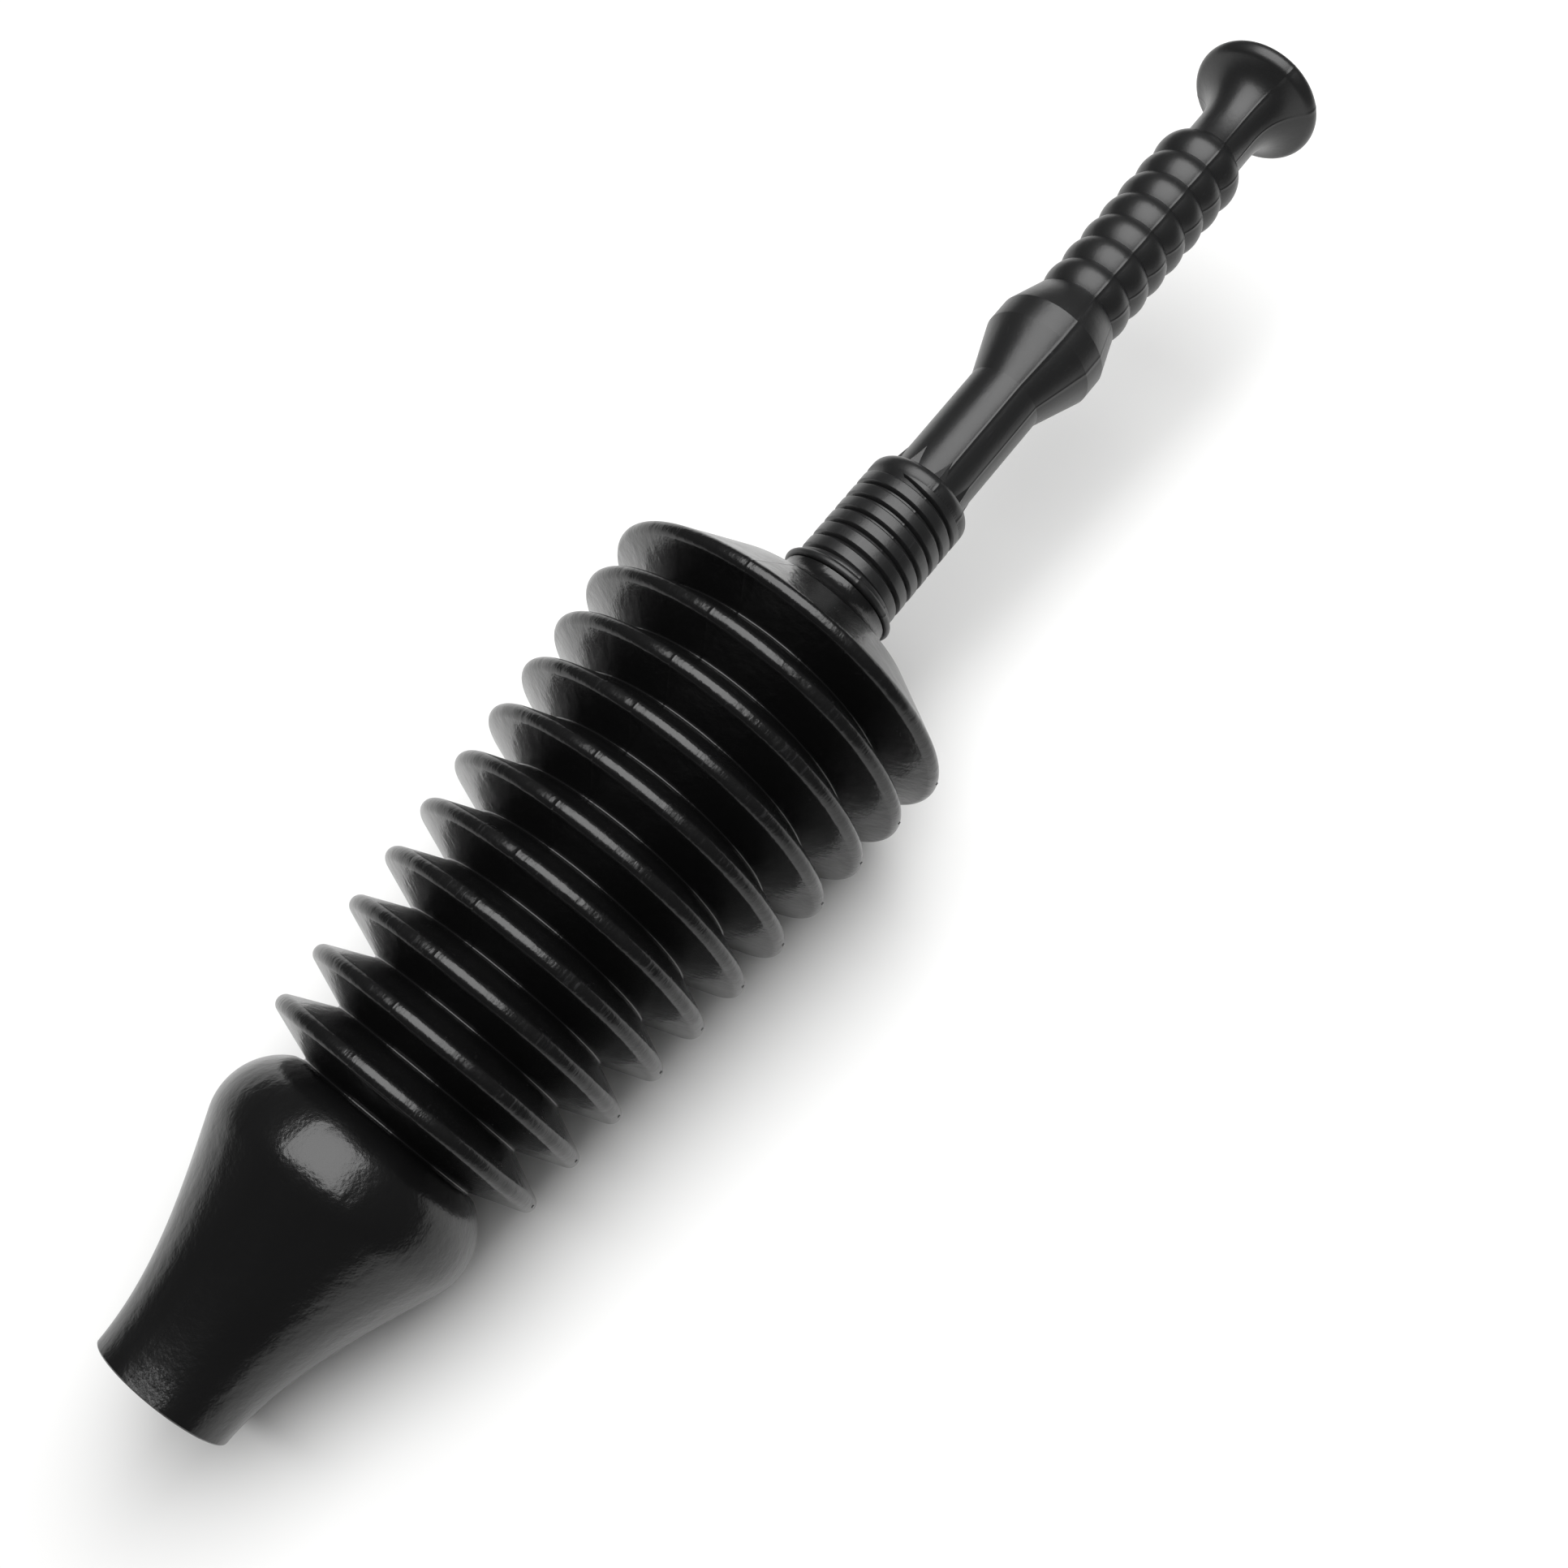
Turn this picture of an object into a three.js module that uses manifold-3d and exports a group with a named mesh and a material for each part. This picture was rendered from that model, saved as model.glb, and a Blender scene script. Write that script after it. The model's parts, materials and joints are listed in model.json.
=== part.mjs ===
// Bellows toilet plunger: a blow-moulded bellows with a tapered nose, and a hollow
// handle whose threaded socket screws onto the bellows' neck.
//
// Everything is drawn upright about one axis, with the nose mouth at 0 and the knob at
// the top, and is then laid down so that the pleats' crests rest on the ground.
// Millimetres; +X runs from the nose to the knob, +Z is up.

import * as THREE from 'three';
import { mergeGeometries, mergeVertices } from 'three/addons/utils/BufferGeometryUtils.js';
import { ConvexGeometry } from 'three/addons/geometries/ConvexGeometry.js';
import Module from 'manifold-3d';

const wasm = await Module();
wasm.setup();

// ---- driving dimensions --------------------------------------------------------------

const GAP = 0.3;                 // clearance between two nodes that meet
const BELLOWS_SIDES = 30;        // sides of the polygons that stand for circles
const HANDLE_SIDES = 24;

const PLEATS = 11;               // the last one carries the shoulder
const FIRST_CREST = 111.7;       // height of the first crest above the nose mouth
const PLEAT_PITCH = 19.27;
const FIRST_CREST_RADIUS = 53.2;
const LAST_CREST_RADIUS = 70.3;
const CREST_ROUNDING = 3.2;
const FOLD_DEPTH = 18.1;         // from a crest down to the root of the groove beside it
const WALL = 2.1;

const MOUTH_RADIUS = 25.1;
const BULB = { height: 81.6, radius: 48.5, rounding: 22 };
const BULB_START = -24;          // degrees on the bulb's arc, where the flare meets it
const FIRST_GROOVE_RADIUS = 32.5;

const RING = { radius: 43, height: 323.3 };    // the edge where the shoulder's cone ends
const NECK_RADIUS = 21.8;
const NECK_TOP = 338.2;
const THREAD_PITCH = 6.45;
const THREAD_START = 347;
const THREAD_DEPTH = 1.1;
const SPIGOT = { radius: 17.2, bore: 15.2, top: 385, turns: 5.3 };
const SOCKET = { radius: 17.6, top: 387.5 };

const LIP = { radius: 23.2, height: 3.1, chamfer: 0.9 };
const SLEEVE = { radius: 19.7, bandEnd: 344.2, top: 392.4, rounding: 4, turns: 6.3 };
const TUBE_RADIUS = 15;
const GUSSETS = { count: 8, tip: 402.5, halfAngle: 10, proud: 2.2 };
const COLLAR = { start: 442.5, bandStart: 463.5, bandEnd: 472.9, end: 487.7, radius: 22.95 };
const BEADS = { count: 7, pitch: 12.48, first: 495.9, crest: 18, valley: 16 };
const KNOB = { neck: 12.75, neckStart: 580.5, neckEnd: 592, radius: 26.4, rim: 614.9, rounding: 4, top: 623.7 };

// ---- materials -----------------------------------------------------------------------

const bellowsPlastic = { color: 0x0d0e10, roughness: 0.32, metalness: 0 };
const handlePlastic = { color: 0x17181a, roughness: 0.45, metalness: 0 };

// ---- helpers -------------------------------------------------------------------------

const degrees = (angle) => THREE.MathUtils.degToRad(angle);
const at = (radius, height) => new THREE.Vector2(radius, height);

// A polygon drawn around a circle, so that its flats touch the circle.
const around = (sides) => 1 / Math.cos(Math.PI / sides);

function weld(geometry) {
  geometry.deleteAttribute('normal');
  geometry.deleteAttribute('uv');
  return mergeVertices(geometry, 1e-4);
}

// Turns a closed outline, given as radius and height, about the axis. A flat of the
// polygon, not a corner, faces the ground.
function turned(outline, sides) {
  const grown = outline.map((point) => at(point.x * around(sides), point.y));
  return weld(new THREE.LatheGeometry(grown, sides, Math.PI / sides));
}

const ring = (outline, sides) => turned([...outline, outline[0]], sides);

function solid(geometry) {
  const vertProperties = new Float32Array(geometry.attributes.position.array);
  const triVerts = new Uint32Array(geometry.index.array);
  return new wasm.Manifold(new wasm.Mesh({ numProp: 3, vertProperties, triVerts }));
}

function surface(manifold) {
  const mesh = manifold.getMesh();
  const geometry = new THREE.BufferGeometry();
  geometry.setAttribute('position', new THREE.BufferAttribute(mesh.vertProperties, 3));
  geometry.setIndex(new THREE.BufferAttribute(mesh.triVerts, 1));
  return geometry;
}

// One helical ridge that climbs to the right. It sinks into the wall at both ends.
function ridge(root, crest, rootWidth, crestWidth, turns) {
  const steps = Math.round(turns * HANDLE_SIDES);
  const sink = 0.3;
  const positions = [];
  const index = [];
  for (let step = 0; step <= steps; step += 1) {
    const angle = Math.PI / HANDLE_SIDES + (step / HANDLE_SIDES) * 2 * Math.PI;
    const height = THREAD_START + (step / HANDLE_SIDES) * THREAD_PITCH;
    const fade = Math.min(1, (4 * step) / HANDLE_SIDES, (4 * (steps - step)) / HANDLE_SIDES);
    const top = crest - (1 - fade) * (THREAD_DEPTH + sink);
    const section = [[root, -rootWidth], [top, -crestWidth], [top, crestWidth], [root, rootWidth]];
    for (const [radius, width] of section) {
      const reach = radius * around(HANDLE_SIDES);
      positions.push(reach * Math.sin(angle), height + width / 2, reach * Math.cos(angle));
    }
    if (step === steps) continue;
    for (let side = 0; side < 4; side += 1) {
      const a = step * 4 + side;
      const b = step * 4 + ((side + 1) % 4);
      index.push(a, a + 4, b, b, a + 4, b + 4);
    }
  }
  const last = steps * 4;
  index.push(0, 1, 2, 0, 2, 3, last, last + 2, last + 1, last, last + 3, last + 2);
  const geometry = new THREE.BufferGeometry();
  geometry.setAttribute('position', new THREE.Float32BufferAttribute(positions, 3));
  geometry.setIndex(index);
  return solid(geometry);
}

// ---- the bellows' folds --------------------------------------------------------------

const crestHeight = (pleat) => FIRST_CREST + pleat * PLEAT_PITCH;
const crestSlope = (LAST_CREST_RADIUS - FIRST_CREST_RADIUS) / ((PLEATS - 1) * PLEAT_PITCH);
const crestRadius = (pleat) => FIRST_CREST_RADIUS + crestSlope * pleat * PLEAT_PITCH;
const layAngle = Math.atan(crestSlope);

// Groove number g lies just below crest number g; groove 0 parts the nose from the pleats.
function grooveAt(groove) {
  const height = crestHeight(groove) - PLEAT_PITCH / 2;
  const radius = (crestRadius(groove) + crestRadius(groove - 1)) / 2 - FOLD_DEPTH;
  return at(groove === 0 ? FIRST_GROOVE_RADIUS : radius, height);
}

// The rounding over a crest, as four points: its middle facet is parallel to the ground.
function crestPoints(pleat, centreHeight = crestHeight(pleat)) {
  const centreRadius = crestRadius(pleat) - CREST_ROUNDING;
  return [-66, -19, 19, 66].map((angle) => {
    const turn = degrees(angle) + layAngle;
    return at(
      centreRadius + CREST_ROUNDING * Math.cos(turn),
      centreHeight + CREST_ROUNDING * Math.sin(turn) - CREST_ROUNDING * Math.sin(layAngle),
    );
  });
}

function pleatOutline(pleat) {
  const below = grooveAt(pleat);
  const above = grooveAt(pleat + 1);
  const inside = crestRadius(pleat) - WALL;
  return [
    at(below.x, below.y + GAP / 2),
    ...crestPoints(pleat),
    at(above.x, above.y - GAP / 2),
    at(above.x - WALL, above.y - GAP / 2),
    at(inside, crestHeight(pleat) + 1),
    at(inside, crestHeight(pleat) - 1),
    at(below.x - WALL, below.y + GAP / 2),
  ];
}

// ---- the nose ------------------------------------------------------------------------

function noseOutline() {
  const centre = BULB.radius - BULB.rounding;
  const start = degrees(BULB_START);
  const groove = grooveAt(0);
  const meet = at(centre + BULB.rounding * Math.cos(start), BULB.height + BULB.rounding * Math.sin(start));
  const lean = Math.tan(-start);
  const flare = new THREE.CubicBezierCurve(
    at(MOUTH_RADIUS, 0),
    at(MOUTH_RADIUS + 0.4, 24),
    at(meet.x - 26 * lean, meet.y - 26),
    meet,
  );
  const end = Math.acos((groove.x - centre) / BULB.rounding);
  const bulb = new THREE.Path().absarc(centre, BULB.height, BULB.rounding, start, end, false);
  const outer = [...flare.getPoints(6), ...bulb.getPoints(8).slice(1)];
  outer[outer.length - 1].y = groove.y - GAP / 2;

  const inner = [
    at(groove.x - WALL, groove.y - GAP / 2),
    at(BULB.radius - 10, BULB.height + 12.5),
    at(BULB.radius - WALL, BULB.height + 2),
    at(meet.x - WALL, meet.y + 0.9),
    at(flare.getPoint(0.75).x - WALL, flare.getPoint(0.75).y + 1),
    at(flare.getPoint(0.4).x - WALL, flare.getPoint(0.4).y),
    at(MOUTH_RADIUS - WALL, 0),
  ];
  return [...outer, ...inner];
}

// ---- the shoulder and its threaded spigot --------------------------------------------

function shoulder() {
  const last = PLEATS - 1;
  const below = grooveAt(last);
  const crest = crestHeight(last);
  const crestTop = LAST_CREST_RADIUS;
  const flare = new THREE.CubicBezierCurve(
    at(RING.radius, RING.height),
    at(RING.radius - 9, RING.height + 2.2),
    at(NECK_RADIUS + 0.8, NECK_TOP - 9),
    at(NECK_RADIUS, NECK_TOP - 1.2),
  ).getPoints(4);
  const cone = [at(crestTop - 2.2, crest + 3), ...flare];
  const underside = cone.slice(1, -1).reverse().map((point) => at(point.x - 1.2, point.y - WALL));
  const outline = [
    at(below.x, below.y + GAP / 2),
    ...crestPoints(last).slice(0, 3),
    ...cone,
    at(NECK_RADIUS, NECK_TOP),
    at(SPIGOT.radius, NECK_TOP),
    at(SPIGOT.radius, SPIGOT.top),
    at(SPIGOT.bore, SPIGOT.top),
    at(SPIGOT.bore, NECK_TOP - 4),
    ...underside,
    at(crestTop - 5, crest + 1.5),
    at(crestTop - WALL - 0.9, crest - 1),
    at(below.x - WALL, below.y + GAP / 2),
  ];
  const thread = ridge(
    SPIGOT.radius - 0.8,
    SPIGOT.radius + THREAD_DEPTH,
    4.2,
    2.6,
    SPIGOT.turns,
  );
  return surface(solid(ring(outline, HANDLE_SIDES)).add(thread));
}

// ---- the handle ----------------------------------------------------------------------

function handleOuter() {
  const base = NECK_TOP + GAP + 0.1;
  const points = [
    at(LIP.radius - LIP.chamfer, base),
    at(LIP.radius, base + LIP.chamfer),
    at(LIP.radius, base + LIP.height - LIP.chamfer),
    at(SLEEVE.radius + THREAD_DEPTH, base + LIP.height + 0.6),
    at(SLEEVE.radius + THREAD_DEPTH, SLEEVE.bandEnd),
    at(SLEEVE.radius, SLEEVE.bandEnd + THREAD_DEPTH),
  ];
  const edge = SLEEVE.radius - SLEEVE.rounding;
  for (const angle of [10, 45, 80]) {
    const turn = degrees(angle);
    points.push(at(
      edge + SLEEVE.rounding * Math.cos(turn),
      SLEEVE.top - SLEEVE.rounding + SLEEVE.rounding * Math.sin(turn),
    ));
  }
  points.push(
    at(TUBE_RADIUS, SLEEVE.top + 0.3),
    at(TUBE_RADIUS, COLLAR.start),
    at(COLLAR.radius, COLLAR.bandStart),
    at(COLLAR.radius, COLLAR.bandEnd),
    at(BEADS.crest - 0.2, COLLAR.end),
  );
  for (let bead = 0; bead < BEADS.count; bead += 1) {
    const middle = BEADS.first + bead * BEADS.pitch;
    points.push(
      at(BEADS.valley, middle - BEADS.pitch / 2),
      at(BEADS.crest, middle - BEADS.pitch * 0.2),
      at(BEADS.crest, middle + BEADS.pitch * 0.2),
    );
  }
  points.push(at(BEADS.valley, BEADS.first + (BEADS.count - 0.5) * BEADS.pitch));
  const rim = (angle) => at(
    KNOB.radius - KNOB.rounding + KNOB.rounding * Math.cos(degrees(angle)),
    KNOB.rim + KNOB.rounding * Math.sin(degrees(angle)),
  );
  const trumpet = new THREE.CubicBezierCurve(
    at(KNOB.neck, KNOB.neckEnd),
    at(KNOB.neck, KNOB.neckEnd + 10),
    at(rim(-65).x - 8.2, rim(-65).y - 3.8),
    rim(-65),
  );
  points.push(
    at(KNOB.neck, KNOB.neckStart),
    ...trumpet.getPoints(4),
    rim(-30),
    rim(0),
    rim(40),
    at(KNOB.radius * 0.55, KNOB.top - 1),
    at(0, KNOB.top),
  );
  return points;
}

function handleInner() {
  const base = NECK_TOP + GAP + 0.1;
  return [
    at(0, KNOB.top - WALL),
    at(KNOB.radius * 0.55, KNOB.top - WALL - 1),
    at(KNOB.radius - 3.2, KNOB.rim + 1),
    at(KNOB.neck + 1.5, KNOB.rim - 6),
    at(KNOB.neck - WALL, KNOB.neckEnd),
    at(KNOB.neck - WALL, KNOB.neckStart),
    at(BEADS.valley - WALL, KNOB.neckStart - 5),
    at(BEADS.valley - WALL, COLLAR.end),
    at(COLLAR.radius - WALL, COLLAR.bandEnd),
    at(COLLAR.radius - WALL, COLLAR.bandStart),
    at(TUBE_RADIUS - WALL, COLLAR.start),
    at(TUBE_RADIUS - WALL, SOCKET.top + 2),
    at(SOCKET.radius, SOCKET.top),
    at(SOCKET.radius, base),
  ];
}

// A small pyramid that braces the tube against the top of the sleeve.
function gusset(angle) {
  const point = (radius, offset, height) => new THREE.Vector3(
    radius * Math.sin(angle + degrees(offset)),
    height,
    radius * Math.cos(angle + degrees(offset)),
  );
  const sunk = TUBE_RADIUS - 0.6;
  const foot = SLEEVE.top - 3;
  return solid(weld(new ConvexGeometry([
    point(sunk, -GUSSETS.halfAngle, foot),
    point(sunk, GUSSETS.halfAngle, foot),
    point(TUBE_RADIUS + GUSSETS.proud, 0, foot),
    point(sunk, 0, GUSSETS.tip),
  ])));
}

function handle() {
  const outer = handleOuter();
  const inner = handleInner();
  let body = solid(ring([...outer, ...inner], HANDLE_SIDES));
  const rib = ridge(SLEEVE.radius - 0.6, SLEEVE.radius + THREAD_DEPTH, 5.2, 3.8, SLEEVE.turns);
  const female = ridge(SOCKET.radius - 0.8, SOCKET.radius + THREAD_DEPTH, 4.9, 3.4, SPIGOT.turns);
  body = body.add(rib).subtract(female);
  for (let place = 0; place < GUSSETS.count; place += 1) {
    body = body.add(gusset(((place + 0.5) / GUSSETS.count) * 2 * Math.PI));
  }
  return surface(body);
}

// ---- assembly ------------------------------------------------------------------------

const upright = new THREE.Group();

function addNode(name, geometry, finish) {
  const mesh = new THREE.Mesh(geometry, new THREE.MeshStandardMaterial(finish));
  mesh.name = name;
  upright.add(mesh);
}

addNode('nose_cone', ring(noseOutline(), BELLOWS_SIDES), bellowsPlastic);
for (let pleat = 0; pleat < PLEATS - 1; pleat += 1) {
  const number = String(pleat + 1).padStart(2, '0');
  addNode(`bellows_pleat_${number}`, ring(pleatOutline(pleat), BELLOWS_SIDES), bellowsPlastic);
}
addNode('bellows_shoulder', shoulder(), bellowsPlastic);
addNode('handle', handle(), handlePlastic);

// Laid down: the axis leans so that the line of crests is level, and the part is moved
// so that it stands on Z = 0 with the middle of its box over the origin.
upright.rotation.set(0, -layAngle, -Math.PI / 2, 'YZX');

const plunger = new THREE.Group();
plunger.add(upright);
plunger.updateMatrixWorld(true);
const box = new THREE.Box3().setFromObject(plunger, true);
upright.position.set(-(box.min.x + box.max.x) / 2, 0, -box.min.z);

export default plunger;
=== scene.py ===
"""A bellows plunger: its finished surfaces, its plastics and a plain studio to see it in."""

import json
import math

import bpy
from bpy.props import FloatProperty, FloatVectorProperty, IntProperty, PointerProperty
from mathutils import Matrix, Vector


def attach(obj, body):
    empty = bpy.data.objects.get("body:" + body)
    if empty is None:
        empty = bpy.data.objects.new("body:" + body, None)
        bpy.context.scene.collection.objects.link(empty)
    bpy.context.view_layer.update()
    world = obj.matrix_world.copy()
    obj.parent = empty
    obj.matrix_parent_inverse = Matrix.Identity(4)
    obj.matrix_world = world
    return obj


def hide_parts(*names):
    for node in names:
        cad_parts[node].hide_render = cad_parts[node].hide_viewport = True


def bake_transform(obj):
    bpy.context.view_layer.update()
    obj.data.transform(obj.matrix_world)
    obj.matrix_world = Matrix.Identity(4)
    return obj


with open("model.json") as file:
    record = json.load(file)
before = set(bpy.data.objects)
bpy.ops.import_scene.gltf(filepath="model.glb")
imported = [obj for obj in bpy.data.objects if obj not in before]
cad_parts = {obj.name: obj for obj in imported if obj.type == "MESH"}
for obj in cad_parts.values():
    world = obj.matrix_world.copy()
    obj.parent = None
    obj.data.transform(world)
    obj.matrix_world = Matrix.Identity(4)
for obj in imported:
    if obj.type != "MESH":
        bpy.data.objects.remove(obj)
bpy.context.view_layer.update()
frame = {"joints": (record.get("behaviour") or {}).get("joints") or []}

bl_info = {
    "name": "Bellows Plunger",
    "version": (1, 0, 0),
    "blender": (4, 5, 0),
    "location": "View3D > Sidebar > Plunger",
    "description": "Builds a bellows plunger around its packed frame",
    "category": "Object",
}

HEAD = "head"                       # the body that carries the handle and the shoulder
MM = 0.001
AXIS_POINT = 1e-7                   # a radius under this lies on the axis
WORN_PLACE = (24.5 * MM, 5 * MM, 3 * MM)    # the scuffed place at the mouth, upright
BELLOWS_LINE = 0.0018               # half the width of a parting line, in radians
HANDLE_LINE = 0.01                  # the same on the handle, which is thinner
FLARE_STEPS = 44
BULB_STEPS = 32
SHOULDER_STEPS = 30
HELIX_RESOLUTION = 110              # points in a turn of a thread
FLOOR_HALF = 6.0                    # half the side of the studio floor, in metres
FLOOR_DROP = 0.2 * MM               # gap that keeps the floor clear of the plunger
SENSOR_WIDTH = 36                   # in millimetres


# ---- the frame -----------------------------------------------------------------------

joints = {joint["name"]: joint for joint in frame["joints"]}
axis = Vector(joints["fold_10"]["axis"]).normalized()        # from the mouth to the knob
lay_angle = math.asin(axis.z)                                # lean of the axis as it lies


# ---- sizes that a user may change ----------------------------------------------------

def length(name, description, millimetres):
    """A size in the sidebar, given here in millimetres."""
    return FloatProperty(name=name, description=description, default=millimetres * MM,
                         unit="LENGTH", precision=5)


def angle(name, description, degrees):
    """An angle in the sidebar, given here in degrees."""
    return FloatProperty(name=name, description=description, default=math.radians(degrees), unit="ROTATION")


def colour(name, description, value):
    """A linear colour in the sidebar."""
    return FloatVectorProperty(name=name, description=description, default=value,
                               subtype="COLOR", min=0, max=1)


def share(name, description, value):
    """A number from 0 to 1 in the sidebar."""
    return FloatProperty(name=name, description=description, default=value, min=0, max=1, subtype="FACTOR")


class BellowsSizes(bpy.types.PropertyGroup):
    """The blow-moulded bellows, measured upright from its mouth."""

    pleats: IntProperty(name="Pleats", description="Crests, the shoulder's own among them", default=11)
    sides: IntProperty(name="Sides", description="Facets round the bellows", default=208)
    first_crest: length("First crest", "Height of the crest nearest the nose", 111.7)
    pitch: length("Pitch", "From one crest to the next", 19.27)
    first_radius: length("First radius", "Radius of the crest nearest the nose", 53.2)
    last_radius: length("Last radius", "Radius of the crest that carries the shoulder", 70.3)
    rounding: length("Crest rounding", "Radius of the rounding over a crest", 3.2)
    fold_depth: length("Fold depth", "From a crest down to the groove beside it", 18.1)
    root_rounding: length("Root rounding", "Radius in the root of a groove", 0.55)
    wall: length("Wall", "Thickness of the plastic", 2.1)
    mouth_radius: length("Mouth radius", "Outer radius of the open end", 25.1)
    mouth_bevel: length("Mouth bevel", "Edge taken off the cut mouth", 0.45)
    flare: length("Flare", "How far the nose rises before it spreads", 24)
    bulb_height: length("Bulb height", "Height of the widest place of the nose", 81.6)
    bulb_radius: length("Bulb radius", "Radius at the widest place of the nose", 48.5)
    bulb_rounding: length("Bulb rounding", "Radius of the nose's shoulder", 22)
    bulb_start: angle("Bulb start", "Where the flare meets the bulb's rounding", -24)
    bulb_end: angle("Bulb end", "Where the bulb's rounding runs into the first groove", 62)
    first_groove: length("First groove", "Radius of the groove behind the nose", 32.5)
    neck_radius: length("Neck radius", "Radius of the neck under the handle", 21.8)
    neck_top: length("Neck top", "Height of the neck's upper face", 338.2)
    ring_radius: length("Ring radius", "Radius of the edge where the shoulder's cone ends", 43)
    ring_height: length("Ring height", "Height of that edge", 323.3)
    spigot_radius: length("Spigot radius", "Radius of the threaded spigot", 17.2)
    spigot_bore: length("Spigot bore", "Radius of the hole through the spigot", 15.2)
    spigot_top: length("Spigot top", "Height of the spigot's end", 385)
    parting: angle("Parting line", "Where the two halves of the mould met", -4)
    parting_height: length("Parting height", "How far the parting line stands up", 0.08)
    pin_angle: angle("Vent pins", "Where the vents of the mould left a dot on each crest", 94)
    pin_radius: length("Pin radius", "Radius of a vent dot", 0.55)


class HandleSizes(bpy.types.PropertyGroup):
    """The hollow handle, measured upright from the bellows' mouth."""

    sides: IntProperty(name="Sides", description="Facets round the handle", default=144)
    gap: length("Gap", "Clearance between the neck and the handle's lip", 0.4)
    lip_radius: length("Lip radius", "Radius of the bead that sits on the neck", 23.2)
    lip_height: length("Lip height", "Height of that bead", 3.1)
    sleeve_radius: length("Sleeve radius", "Radius of the sleeve over its ribs", 20.8)
    sleeve_first: length("First band", "Height at which the sleeve's lower band ends", 343.6)
    sleeve_last: length("Last band", "Height at which the sleeve's upper band begins", 385.2)
    sleeve_top: length("Sleeve top", "Height of the sleeve's end", 392.4)
    sleeve_rounding: length("Sleeve rounding", "Radius over the sleeve's end", 4.6)
    wall: length("Wall", "Thickness of the plastic", 2.1)
    socket_radius: length("Socket radius", "Radius of the socket that takes the spigot", 17.6)
    socket_top: length("Socket top", "Height of the socket's end", 387.5)
    thread_start: length("Thread start", "Height at which the thread begins", 347)
    thread_pitch: length("Thread pitch", "Rise of the thread in one turn", 6.45)
    thread_depth: length("Thread depth", "How far the spigot's thread stands up", 1.1)
    groove_depth: length("Groove depth", "Depth of the groove between the sleeve's ribs", 1.8)
    rib_land: length("Rib land", "Width of a rib along its top", 4)
    rib_turns: FloatProperty(name="Rib turns", description="Turns of the sleeve's rib", default=7.15)
    spigot_turns: FloatProperty(name="Spigot turns", description="Turns of the inner thread", default=5.3)
    tube_radius: length("Tube radius", "Radius of the plain tube", 15)
    gussets: IntProperty(name="Gussets", description="Small braces round the tube", default=8)
    gusset_tip: length("Gusset tip", "Height of a brace's point", 402.5)
    gusset_middle: length("Gusset middle", "Radius at the middle of a brace's foot", 15.3)
    gusset_size: length("Gusset size", "Radius of a brace's three-cornered foot", 1.6)
    gusset_spread: FloatProperty(name="Gusset spread", description="How much wider that foot is made",
                                 default=2.8)
    gusset_angle: angle("Gusset angle", "Where the first brace stands", 22.5)
    collar_start: length("Collar start", "Height at which the collar begins", 442.5)
    collar_band: length("Collar band", "Height at which its straight band begins", 463.5)
    collar_band_end: length("Band end", "Height at which the straight band ends", 472.9)
    collar_end: length("Collar end", "Height at which the collar ends", 487.7)
    collar_radius: length("Collar radius", "Radius of the straight band", 22.95)
    beads: IntProperty(name="Beads", description="Round beads of the grip", default=7)
    bead_first: length("First bead", "Height of the first bead's crest", 495.9)
    bead_pitch: length("Bead pitch", "From one bead to the next", 12.48)
    bead_crest: length("Bead crest", "Radius over a bead", 18)
    bead_valley: length("Bead valley", "Radius between two beads", 16)
    knob_neck: length("Knob neck", "Radius of the neck under the knob", 12.75)
    knob_neck_start: length("Neck start", "Height at which the neck under the knob begins", 580.5)
    knob_neck_end: length("Neck end", "Height at which that neck begins to spread", 592)
    knob_radius: length("Knob radius", "Radius of the knob's rim", 26.4)
    knob_rim: length("Knob rim", "Height of the knob's rim", 614.9)
    knob_rounding: length("Rim rounding", "Radius of the rounding over the rim", 4)
    knob_top: length("Knob top", "Height of the knob's domed end", 623.7)
    parting: angle("Parting line", "Where the two halves of the mould met", 25.5)
    slide: angle("Slide line", "Where the mould's slides met its halves", 68)
    parting_height: length("Parting height", "How far these lines stand up", 0.08)


class Finishes(bpy.types.PropertyGroup):
    """The plastics and the floor."""

    bellows: colour("Bellows", "Colour of the bellows' plastic", (0.0042, 0.0042, 0.0043))
    # The rubbed colour is also the colour of the painted highlight over the crest tops.
    bellows_wear_and_highlight: colour("Bellows, rubbed", "Colour where the bellows is rubbed", (0.03, 0.03, 0.031))
    bellows_roughness: share("Bellows roughness", "Roughness of the bellows", 0.23)
    handle: colour("Handle", "Colour of the handle's plastic", (0.0095, 0.0096, 0.0098))
    handle_worn: colour("Handle, rubbed", "Colour where the handle is rubbed", (0.024, 0.024, 0.0245))
    handle_roughness: share("Handle roughness", "Roughness of the handle", 0.34)
    floor: colour("Floor", "Colour of the floor", (0.8, 0.8, 0.795))


class StudioSizes(bpy.types.PropertyGroup):
    """The camera and the soft light."""

    camera: FloatVectorProperty(name="Camera", description="Where the camera stands",
                                default=(-0.2473, -0.1923, 0.6084), subtype="TRANSLATION", unit="LENGTH")
    aim: FloatVectorProperty(name="Aim", description="What the camera looks at",
                             default=(-0.0344, -0.0258, 0.055), subtype="TRANSLATION", unit="LENGTH")
    lens: FloatProperty(name="Lens", description="Focal length in millimetres", default=40.5)
    light_place: FloatVectorProperty(name="Light place", description="Where the soft light hangs",
                                     default=(0.28, 0.1, 1.35), subtype="TRANSLATION", unit="LENGTH")
    light_length: length("Light length", "Length of the soft light, along the plunger", 2060)
    light_width: length("Light width", "Width of the soft light", 1350)
    light_power: FloatProperty(name="Light power", description="Power of the soft light in watts", default=40)
    room_light: share("Room light", "Brightness of the room around", 0.09)


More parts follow.
